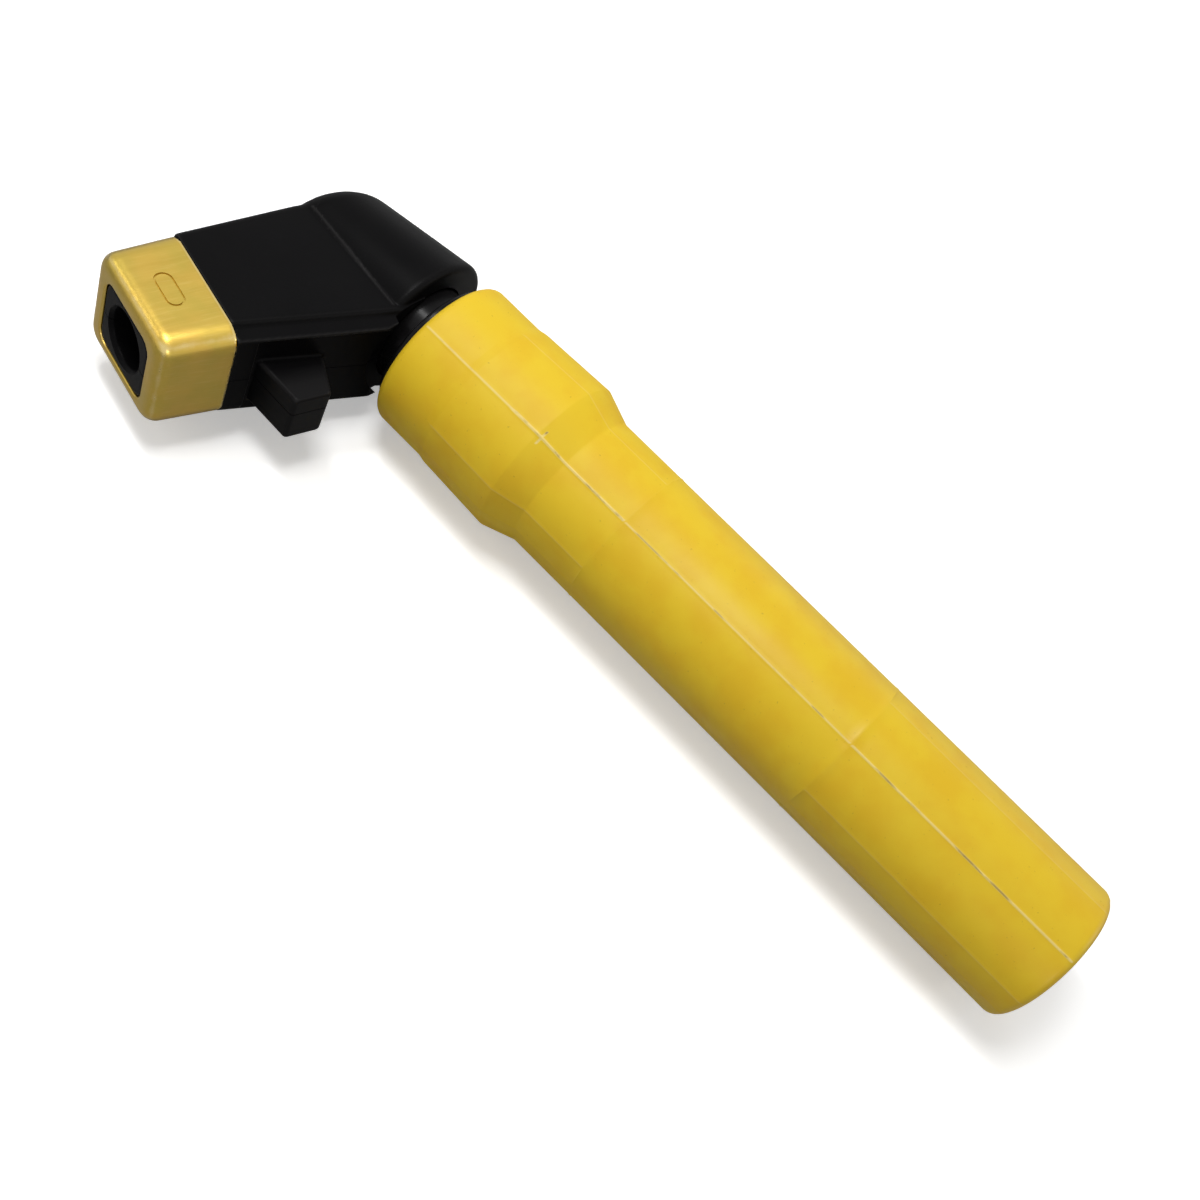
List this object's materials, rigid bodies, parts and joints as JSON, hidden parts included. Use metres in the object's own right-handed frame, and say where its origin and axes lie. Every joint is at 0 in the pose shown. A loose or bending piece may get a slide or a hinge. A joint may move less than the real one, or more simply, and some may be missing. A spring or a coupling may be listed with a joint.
{
  "type": "electrode holder",
  "caption": "Twist-grip welding electrode holder: slanted moulded head with a metal nose cap on a round rubber handle that turns to screw a pressure pad onto the electrode.",
  "frame": {"origin": "under the middle of the box, on the surface that the handle's bulge rests on", "axes": "+X along the handle to the cable end, +Z out of the head's broad face; the nose points towards -Y"},
  "size_m": [0.2508, 0.088, 0.0441],
  "materials": {
    "black_moulding": "satin glass-filled thermoset moulding",
    "black_fibre": "smooth wound fibre tube",
    "black_rubber": "dull moulded rubber",
    "yellow_rubber": "satin moulded rubber with mould lines",
    "gold_passivated": "pressed sheet steel, zinc plated and passivated gold",
    "brass": "machined",
    "copper": "machined copper alloy",
    "zinc_steel": "bright zinc plate"
  },
  "bodies": {
    "head": {"head_shell_upper": "black_moulding", "head_shell_lower": "black_moulding", "nose_cap": "gold_passivated", "contact_block": "brass", "fixed_jaw": "copper", "jaw_plug": "brass", "neck_seal": "black_rubber", "dowel_nose_near": "zinc_steel", "dowel_nose_far": "zinc_steel", "dowel_boss": "zinc_steel"},
    "plunger": {"pressure_pad": "copper", "pad_pin_upper": "zinc_steel", "pad_pin_lower": "zinc_steel"},
    "handle": {"grip_sleeve": "yellow_rubber", "liner_tube": "black_fibre", "neck_collar": "black_moulding", "clamp_spindle": "brass", "lock_nut": "zinc_steel", "lock_washer": "zinc_steel", "cable_socket": "brass", "cable_screw_front": "zinc_steel", "cable_screw_rear": "zinc_steel", "drive_pin": "zinc_steel", "cable_bush": "black_fibre"}
  },
  "joints": [
    {"name": "plunger_slide", "type": "slide", "parent": "head", "child": "plunger", "axis": [-1, 0, 0], "range_m": [-0.001, 0.0045]},
    {"name": "handle_twist", "type": "hinge", "parent": "plunger", "child": "handle", "pos_m": [-0.07375, 0.02194, 0.02204], "axis": [-1, 0, 0], "range_deg": [-90, 405]}
  ],
  "couplings": [
    {"joint": "handle_twist", "follows": "plunger_slide", "rad_per_m": 1570.8}
  ]
}
